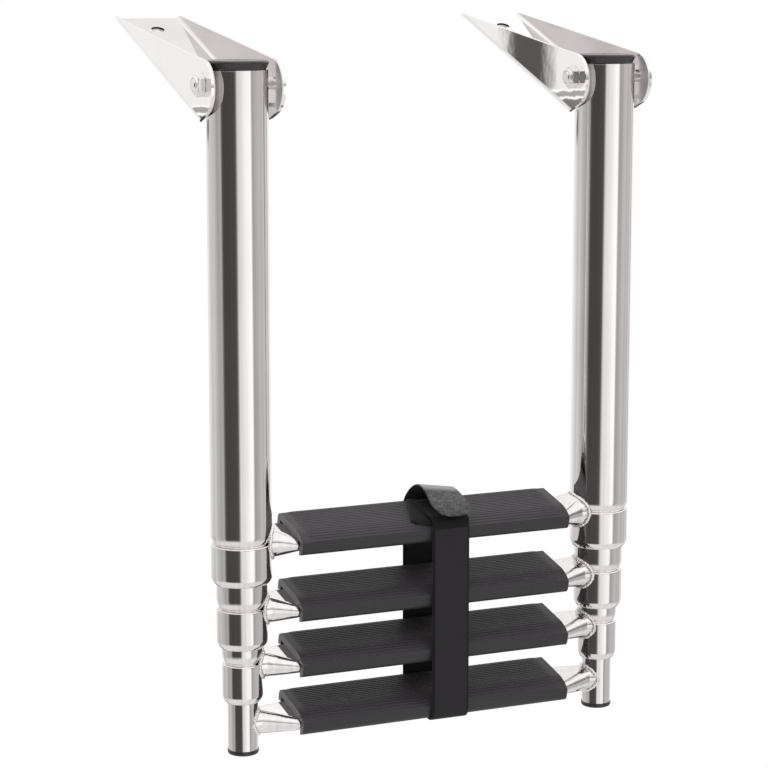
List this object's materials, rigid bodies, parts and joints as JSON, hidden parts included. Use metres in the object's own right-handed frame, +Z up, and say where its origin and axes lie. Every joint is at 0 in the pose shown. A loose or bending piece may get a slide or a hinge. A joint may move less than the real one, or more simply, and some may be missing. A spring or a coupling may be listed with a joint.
{
  "type": "telescoping boarding ladder",
  "caption": "Telescoping boat boarding ladder of polished tube with plastic treads, pushed together and strapped, hung from pivoting mounting brackets.",
  "frame": {"origin": "underside of the left mounting bracket's web, midway between its two bolt holes", "axes": "+X across the ladder from the left post to the right one, +Z up along the hanging posts, +Y away from the climber, towards the boat"},
  "size_m": [0.3105, 0.1896, 0.4541],
  "materials": {
    "tube_steel": "mirror polished",
    "bracket_steel": "polished sheet",
    "bolt_steel": "satin",
    "cap_plastic": "moulded",
    "tread_plastic": "ribbed",
    "strap_webbing": "woven webbing"
  },
  "bodies": {
    "brackets": {"left_bracket": "bracket_steel", "left_pivot_bolt": "bolt_steel", "left_lock_nut": "bolt_steel", "right_bracket": "bracket_steel", "right_pivot_bolt": "bolt_steel", "right_lock_nut": "bolt_steel"},
    "upper_section": {"left_tube_1": "tube_steel", "left_collar_1": "tube_steel", "left_cap": "cap_plastic", "right_tube_1": "tube_steel", "right_collar_1": "tube_steel", "right_cap": "cap_plastic", "crossbar_1": "tube_steel", "tread_1": "tread_plastic", "strap": "strap_webbing"},
    "second_section": {"left_tube_2": "tube_steel", "left_collar_2": "tube_steel", "right_tube_2": "tube_steel", "right_collar_2": "tube_steel", "crossbar_2": "tube_steel", "tread_2": "tread_plastic"},
    "third_section": {"left_tube_3": "tube_steel", "left_collar_3": "tube_steel", "right_tube_3": "tube_steel", "right_collar_3": "tube_steel", "crossbar_3": "tube_steel", "tread_3": "tread_plastic"},
    "foot_section": {"left_tube_4": "tube_steel", "left_end_plug": "cap_plastic", "right_tube_4": "tube_steel", "right_end_plug": "cap_plastic", "crossbar_4": "tube_steel", "tread_4": "tread_plastic"}
  },
  "joints": [
    {"name": "ladder_fold", "type": "hinge", "parent": "brackets", "child": "upper_section", "pos_m": [0.1243, -0.10605, -0.01125], "axis": [1, 0, 0], "range_deg": [-246, 18]},
    {"name": "second_section_slide", "type": "slide", "parent": "upper_section", "child": "second_section", "axis": [0, 0, -1], "range_m": [0, 0.245], "deforming": ["strap"]},
    {"name": "third_section_slide", "type": "slide", "parent": "second_section", "child": "third_section", "axis": [0, 0, -1], "range_m": [0, 0.245]},
    {"name": "foot_section_slide", "type": "slide", "parent": "third_section", "child": "foot_section", "axis": [0, 0, -1], "range_m": [0, 0.245]}
  ]
}
